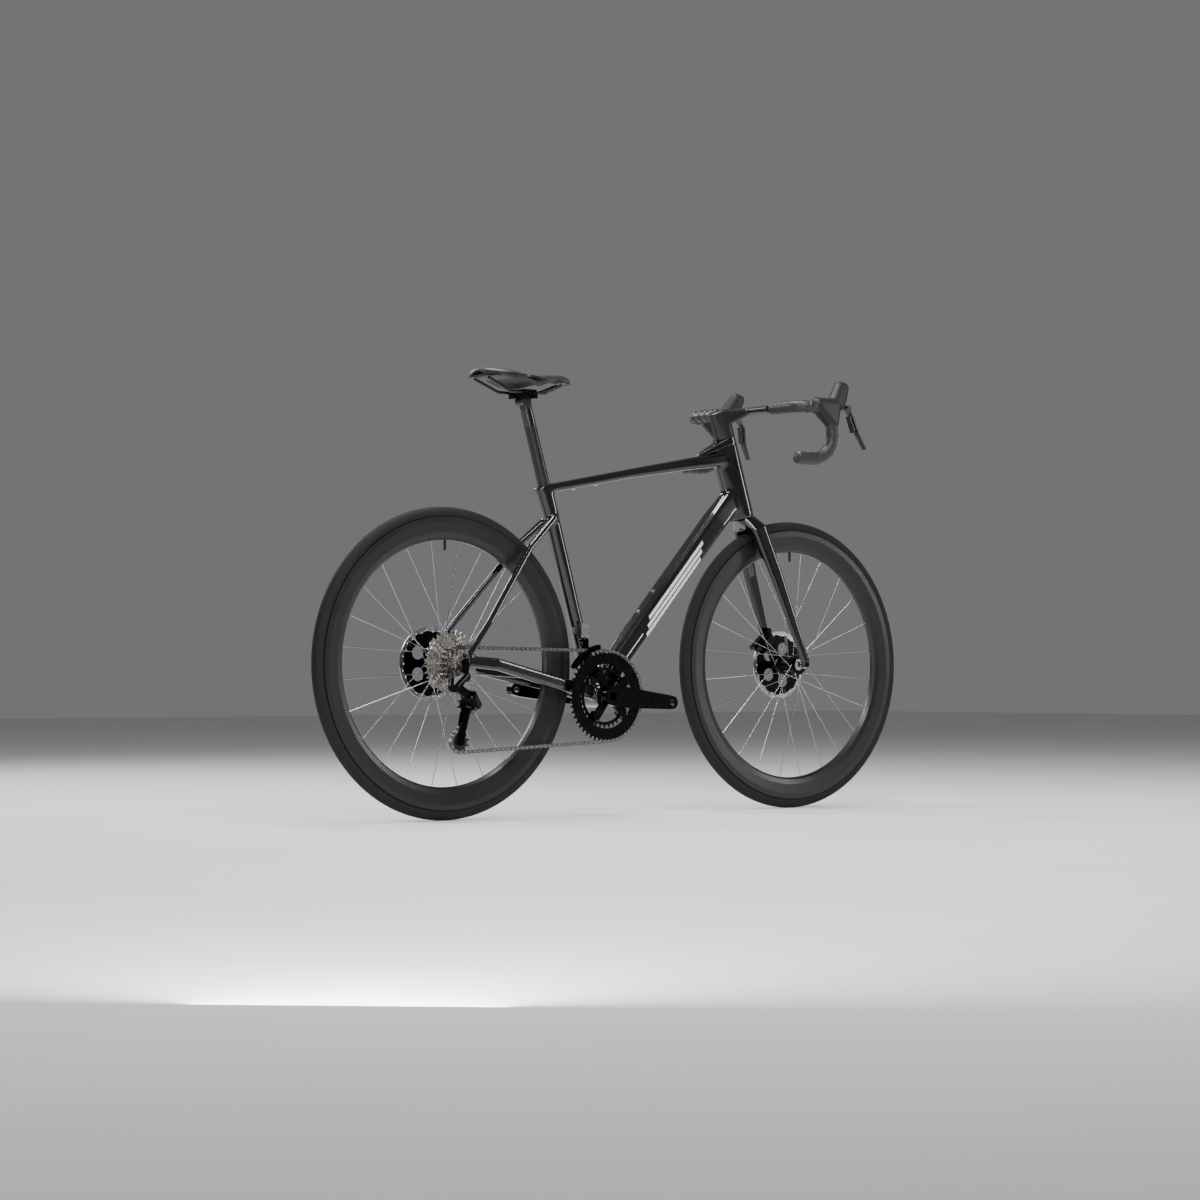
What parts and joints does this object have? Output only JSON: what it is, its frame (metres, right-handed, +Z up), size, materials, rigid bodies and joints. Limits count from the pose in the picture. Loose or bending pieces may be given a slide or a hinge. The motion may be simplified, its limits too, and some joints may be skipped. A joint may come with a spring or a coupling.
{
  "type": "road bicycle",
  "caption": "Drop-bar road bicycle with disc brakes, deep rims and derailleur gears; it steers, rolls, shifts and brakes, and takes standard pedals.",
  "frame": {"origin": "on the ground, in the middle plane, midway between the two wheel axles", "axes": "+X forward, the way the bicycle travels; +Y to the rider's left; +Z up; the drivetrain is on the -Y side"},
  "size_m": [1.6829, 0.4376, 0.9989],
  "materials": {
    "gloss_carbon": "high gloss clear coat over black carbon",
    "satin_carbon": "satin carbon laminate",
    "black_alloy": "black anodised, satin",
    "bare_steel": "machined",
    "spoke_steel": "drawn and polished",
    "rotor_steel": "ground track",
    "cassette_steel": "satin nickel",
    "chain_steel": "satin, lightly oiled",
    "tyre_rubber": "matte rubber",
    "butyl": "matte",
    "hood_rubber": "ribbed matte rubber",
    "bar_wrap": "wound grip tape",
    "saddle_skin": "satin microfibre",
    "black_plastic": "moulded",
    "pad_compound": "sintered"
  },
  "bodies": {
    "frame": {"head_tube": "gloss_carbon", "top_tube": "gloss_carbon", "down_tube": "gloss_carbon", "seat_tube": "gloss_carbon", "chainstays": "gloss_carbon", "seatstays": "gloss_carbon", "derailleur_hanger": "black_alloy", "frame_bearings": "bare_steel", "seat_clamp_wedge": "bare_steel", "bottle_bolts": "bare_steel", "rear_thru_axle": "black_alloy", "rear_hub_axle": "bare_steel", "rear_caliper": "black_alloy", "front_mech_body": "bare_steel", "headset_cover": "gloss_carbon", "chain": "chain_steel"},
    "seatpost": {"seatpost": "satin_carbon"},
    "saddle_clamp": {"saddle_clamp": "black_alloy"},
    "saddle": {"saddle_cover": "saddle_skin", "saddle_shell": "satin_carbon", "saddle_rails": "satin_carbon"},
    "fork": {"fork": "gloss_carbon", "front_thru_axle": "black_alloy", "front_hub_axle": "bare_steel", "front_caliper": "black_alloy", "stem": "gloss_carbon", "handlebar": "satin_carbon", "bar_tape": "bar_wrap", "brake_hoods": "hood_rubber"},
    "front_pad_left": {"front_pad_left": "pad_compound"},
    "front_pad_right": {"front_pad_right": "pad_compound"},
    "rear_pad_left": {"rear_pad_left": "pad_compound"},
    "rear_pad_right": {"rear_pad_right": "pad_compound"},
    "brake_lever_left": {"brake_lever_left": "black_plastic"},
    "brake_lever_right": {"brake_lever_right": "black_plastic"},
    "shift_paddle_left": {"shift_paddle_left": "black_plastic"},
    "shift_paddle_right": {"shift_paddle_right": "black_plastic"},
    "front_wheel": {"front_rim": "satin_carbon", "front_tyre": "tyre_rubber", "front_inner_tube": "butyl", "front_spokes": "spoke_steel", "front_hub_shell": "black_alloy", "front_rotor": "rotor_steel"},
    "rear_wheel": {"rear_rim": "satin_carbon", "rear_tyre": "tyre_rubber", "rear_inner_tube": "butyl", "rear_spokes": "spoke_steel", "rear_hub_shell": "black_alloy", "rear_rotor": "rotor_steel"},
    "cassette": {"cassette": "cassette_steel"},
    "crankset": {"crank_arm_right": "black_alloy", "crank_arm_left": "black_alloy", "crank_spindle": "black_alloy", "chainrings": "black_alloy"},
    "rear_mech_base": {"rear_mech_base": "black_alloy"},
    "rear_mech_link": {"rear_mech_link": "black_alloy"},
    "rear_mech_knuckle": {"rear_mech_knuckle": "black_alloy"},
    "rear_mech_cage": {"rear_mech_cage": "black_alloy"},
    "guide_wheel": {"guide_wheel": "black_plastic"},
    "tension_wheel": {"tension_wheel": "black_plastic"},
    "front_mech_cage": {"front_mech_cage": "black_alloy"}
  },
  "joints": [
    {"name": "steering", "type": "hinge", "parent": "frame", "child": "fork", "pos_m": [0.35547, 0, 0.68397], "axis": [-0.284, 0, 0.9588], "range_deg": [-60, 60]},
    {"name": "front_wheel_spin", "type": "hinge", "parent": "fork", "child": "front_wheel", "pos_m": [0.5025, 0, 0.339], "axis": [0, 1, 0], "continuous": true},
    {"name": "rear_wheel_spin", "type": "hinge", "parent": "frame", "child": "rear_wheel", "pos_m": [-0.5025, 0, 0.339], "axis": [0, 1, 0], "continuous": true},
    {"name": "crank_spin", "type": "hinge", "parent": "frame", "child": "crankset", "pos_m": [-0.09379, 0, 0.267], "axis": [0, 1, 0], "continuous": true, "deforming": ["chain"]},
    {"name": "cassette_spin", "type": "hinge", "parent": "frame", "child": "cassette", "pos_m": [-0.5025, 0, 0.339], "axis": [0, 1, 0], "continuous": true},
    {"name": "seatpost_height", "type": "slide", "parent": "frame", "child": "seatpost", "axis": [-0.284, 0, 0.9588], "range_m": [-0.08, 0.05]},
    {"name": "saddle_tilt", "type": "hinge", "parent": "seatpost", "child": "saddle_clamp", "pos_m": [-0.2909, 0, 0.91942], "axis": [0, 1, 0], "range_deg": [-6, 6]},
    {"name": "saddle_setback", "type": "slide", "parent": "saddle_clamp", "child": "saddle", "axis": [1, 0, 0], "range_m": [-0.015, 0.015]},
    {"name": "rear_mech_float", "type": "hinge", "parent": "frame", "child": "rear_mech_base", "pos_m": [-0.5115, 0, 0.31], "axis": [0, 1, 0], "range_deg": [-6, 10], "stiffness_Nm_per_rad": 8, "deforming": ["chain"]},
    {"name": "rear_shift", "type": "hinge", "parent": "rear_mech_base", "child": "rear_mech_link", "pos_m": [-0.5405, -0.088, 0.293], "axis": [0.427, 0.5371, 0.7275], "range_deg": [-22, 26], "deforming": ["chain"]},
    {"name": "rear_shift_knuckle", "type": "hinge", "parent": "rear_mech_link", "child": "rear_mech_knuckle", "pos_m": [-0.4945, -0.088, 0.266], "axis": [0.427, 0.5371, 0.7275], "range_deg": [-27, 23]},
    {"name": "chain_tension", "type": "hinge", "parent": "rear_mech_knuckle", "child": "rear_mech_cage", "pos_m": [-0.4785, -0.0475, 0.25], "axis": [0, 1, 0], "range_deg": [-25, 20], "stiffness_Nm_per_rad": 1.2, "deforming": ["chain"]},
    {"name": "guide_wheel_spin", "type": "hinge", "parent": "rear_mech_cage", "child": "guide_wheel", "pos_m": [-0.4785, -0.0475, 0.25], "axis": [0, 1, 0], "continuous": true},
    {"name": "tension_wheel_spin", "type": "hinge", "parent": "rear_mech_cage", "child": "tension_wheel", "pos_m": [-0.4965, -0.0475, 0.17], "axis": [0, 1, 0], "continuous": true},
    {"name": "front_shift", "type": "slide", "parent": "frame", "child": "front_mech_cage", "axis": [0, 1, 0], "range_m": [0, 0.0064], "deforming": ["chain"]},
    {"name": "brake_left", "type": "hinge", "parent": "fork", "child": "brake_lever_left", "pos_m": [0.51005, 0.192, 0.937], "axis": [0, 1, 0], "range_deg": [0, 22], "stiffness_Nm_per_rad": 0.8},
    {"name": "shift_left", "type": "hinge", "parent": "brake_lever_left", "child": "shift_paddle_left", "pos_m": [0.51805, 0.192, 0.915], "axis": [-1, 0, 0], "range_deg": [0, 8], "stiffness_Nm_per_rad": 0.3},
    {"name": "brake_right", "type": "hinge", "parent": "fork", "child": "brake_lever_right", "pos_m": [0.51005, -0.192, 0.937], "axis": [0, 1, 0], "range_deg": [0, 22], "stiffness_Nm_per_rad": 0.8},
    {"name": "shift_right", "type": "hinge", "parent": "brake_lever_right", "child": "shift_paddle_right", "pos_m": [0.51805, -0.192, 0.915], "axis": [1, 0, 0], "range_deg": [0, 8], "stiffness_Nm_per_rad": 0.3},
    {"name": "front_pad_left_slide", "type": "slide", "parent": "fork", "child": "front_pad_left", "axis": [0, -1, 0], "range_m": [0, 0.00032]},
    {"name": "front_pad_right_slide", "type": "slide", "parent": "fork", "child": "front_pad_right", "axis": [0, 1, 0], "range_m": [0, 0.00032]},
    {"name": "rear_pad_left_slide", "type": "slide", "parent": "frame", "child": "rear_pad_left", "axis": [0, -1, 0], "range_m": [0, 0.00032]},
    {"name": "rear_pad_right_slide", "type": "slide", "parent": "frame", "child": "rear_pad_right", "axis": [0, 1, 0], "range_m": [0, 0.00032]}
  ],
  "couplings": [
    {"joint": "cassette_spin", "follows": "crank_spin", "ratio": 2.9412},
    {"joint": "tension_wheel_spin", "follows": "crank_spin", "ratio": 4.5455},
    {"joint": "guide_wheel_spin", "follows": "crank_spin", "ratio": -4.5455},
    {"joint": "rear_shift_knuckle", "follows": "rear_shift", "ratio": -1},
    {"joint": "front_pad_left_slide", "follows": "brake_left", "m_per_rad": 0.0007813},
    {"joint": "front_pad_right_slide", "follows": "brake_left", "m_per_rad": 0.0007813},
    {"joint": "rear_pad_left_slide", "follows": "brake_right", "m_per_rad": 0.0007813},
    {"joint": "rear_pad_right_slide", "follows": "brake_right", "m_per_rad": 0.0007813}
  ]
}
